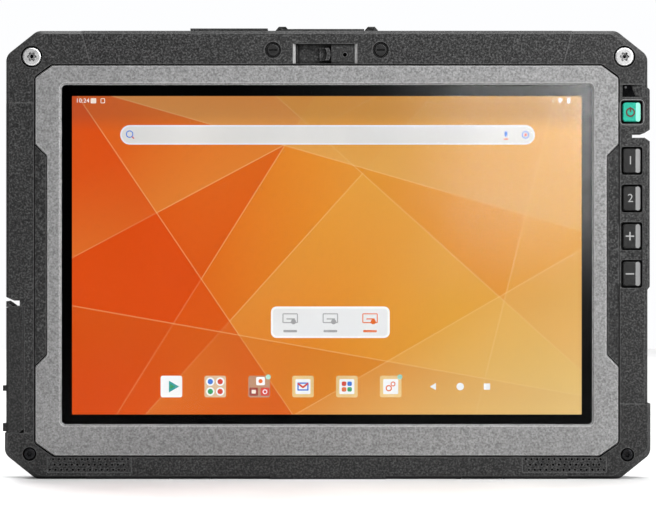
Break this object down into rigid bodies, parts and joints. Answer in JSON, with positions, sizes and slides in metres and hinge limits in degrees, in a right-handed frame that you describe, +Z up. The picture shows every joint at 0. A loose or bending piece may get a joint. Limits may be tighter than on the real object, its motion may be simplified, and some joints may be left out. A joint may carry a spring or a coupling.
{
  "type": "rugged tablet data collector",
  "caption": "Rugged landscape field tablet with corner bumpers, framed touch screen, side keys, shuttered camera, port and card doors, and a latched battery.",
  "frame": {"origin": "middle of the footprint of the tablet, on the surface that its lower edge stands on", "axes": "+X to the right as the user sees the screen, +Y from the screen to the back, +Z up"},
  "size_m": [0.2758, 0.0178, 0.1928],
  "materials": {
    "housing": "fine moulded texture",
    "bumper": "fine moulded texture",
    "bright_screw": "plated",
    "dark_screw": "black oxide",
    "rubber_dark": "matte",
    "bezel": "fine grained paint",
    "cover_glass": "clear, coated",
    "black_ink": "printed",
    "lcd": "lit picture",
    "backlight": "white foil",
    "foam": "foam",
    "cast_frame": "cast, coated black",
    "gloss_black": "moulded",
    "light_pipe": "clear",
    "power_green": "satin",
    "key_plastic": "satin",
    "circuit_board": "solder mask",
    "mesh_cloth": "fine mesh",
    "door_plastic": "fine moulded texture",
    "steel": "satin",
    "copper": "rolled",
    "battery_case": "fine moulded texture",
    "latch_plastic": "satin",
    "gold": "plated",
    "lens_glass": "coated",
    "lamp_lens": "frosted",
    "brass": "turned"
  },
  "bodies": {
    "tablet": {"antennas": "copper", "audio_jack": "gloss_black", "backlight": "backlight", "battery_contacts": "gloss_black", "black_border": "black_ink", "bumper_bottom_left": "bumper", "bumper_bottom_right": "bumper", "bumper_screws_bottom": "dark_screw", "bumper_screws_top": "bright_screw", "bumper_top_left": "bumper", "bumper_top_right": "bumper", "button_board": "circuit_board", "camera_cover": "gloss_black", "card_slots": "steel", "cover_glass": "cover_glass", "dc_jack": "gloss_black", "display_frame": "cast_frame", "display_gasket": "foam", "dock_connector": "gloss_black", "dock_contacts": "gold", "dock_locators": "steel", "door_pins": "steel", "flash_lamp": "lamp_lens", "front_bezel": "bezel", "front_camera": "gloss_black", "front_housing": "housing", "grille_left": "housing", "grille_right": "housing", "heat_spreader": "copper", "io_board": "circuit_board", "keypad_seal": "rubber_dark", "lcd_panel": "lcd", "light_pipe": "light_pipe", "mainboard": "circuit_board", "rear_camera": "gloss_black", "rear_camera_window": "lens_glass", "rear_housing": "housing", "rear_screws": "dark_screw", "screw_plugs": "rubber_dark", "sensor_window": "gloss_black", "shield_cans": "steel", "speaker_left": "gloss_black", "speaker_mesh": "mesh_cloth", "speaker_right": "gloss_black", "strap_inserts": "brass", "usb_a_port": "steel", "usb_c_port": "steel"},
    "power_key": {"power_key": "power_green"},
    "key_one": {"key_one": "key_plastic"},
    "key_two": {"key_two": "key_plastic"},
    "key_plus": {"key_plus": "key_plastic"},
    "key_minus": {"key_minus": "key_plastic"},
    "camera_shutter": {"camera_shutter": "key_plastic"},
    "port_door": {"port_door": "door_plastic", "port_door_seal": "rubber_dark"},
    "card_door": {"card_door": "door_plastic", "card_door_seal": "rubber_dark"},
    "battery_pack": {"battery_pack": "battery_case"},
    "battery_latch_left": {"battery_latch_left": "latch_plastic"},
    "battery_latch_right": {"battery_latch_right": "latch_plastic"}
  },
  "joints": [
    {"name": "power_key_press", "type": "slide", "parent": "tablet", "child": "power_key", "axis": [0, 1, 0], "range_m": [0, 0.0006], "stiffness_N_per_m": 900},
    {"name": "key_one_press", "type": "slide", "parent": "tablet", "child": "key_one", "axis": [0, 1, 0], "range_m": [0, 0.0006], "stiffness_N_per_m": 900},
    {"name": "key_two_press", "type": "slide", "parent": "tablet", "child": "key_two", "axis": [0, 1, 0], "range_m": [0, 0.0006], "stiffness_N_per_m": 900},
    {"name": "key_plus_press", "type": "slide", "parent": "tablet", "child": "key_plus", "axis": [0, 1, 0], "range_m": [0, 0.0006], "stiffness_N_per_m": 900},
    {"name": "key_minus_press", "type": "slide", "parent": "tablet", "child": "key_minus", "axis": [0, 1, 0], "range_m": [0, 0.0006], "stiffness_N_per_m": 900},
    {"name": "shutter_slide", "type": "slide", "parent": "tablet", "child": "camera_shutter", "axis": [-1, 0, 0], "range_m": [0, 0.008]},
    {"name": "port_door_swing", "type": "hinge", "parent": "tablet", "child": "port_door", "pos_m": [-0.1352, 0.00705, 0.0464], "axis": [0, 0, -1], "range_deg": [0, 95]},
    {"name": "card_door_swing", "type": "hinge", "parent": "tablet", "child": "card_door", "pos_m": [-0.04165, 0.00705, 0.1905], "axis": [-1, 0, 0], "range_deg": [0, 95]},
    {"name": "battery_lift", "type": "slide", "parent": "tablet", "child": "battery_pack", "axis": [0, 1, 0], "range_m": [0, 0.016]},
    {"name": "left_latch_slide", "type": "slide", "parent": "tablet", "child": "battery_latch_left", "axis": [0, 0, -1], "range_m": [0, 0.004]},
    {"name": "right_latch_slide", "type": "slide", "parent": "tablet", "child": "battery_latch_right", "axis": [0, 0, -1], "range_m": [0, 0.004]}
  ],
  "couplings": [
    {"joint": "left_latch_slide", "follows": "battery_lift", "ratio": 0.25},
    {"joint": "right_latch_slide", "follows": "battery_lift", "ratio": 0.25}
  ]
}
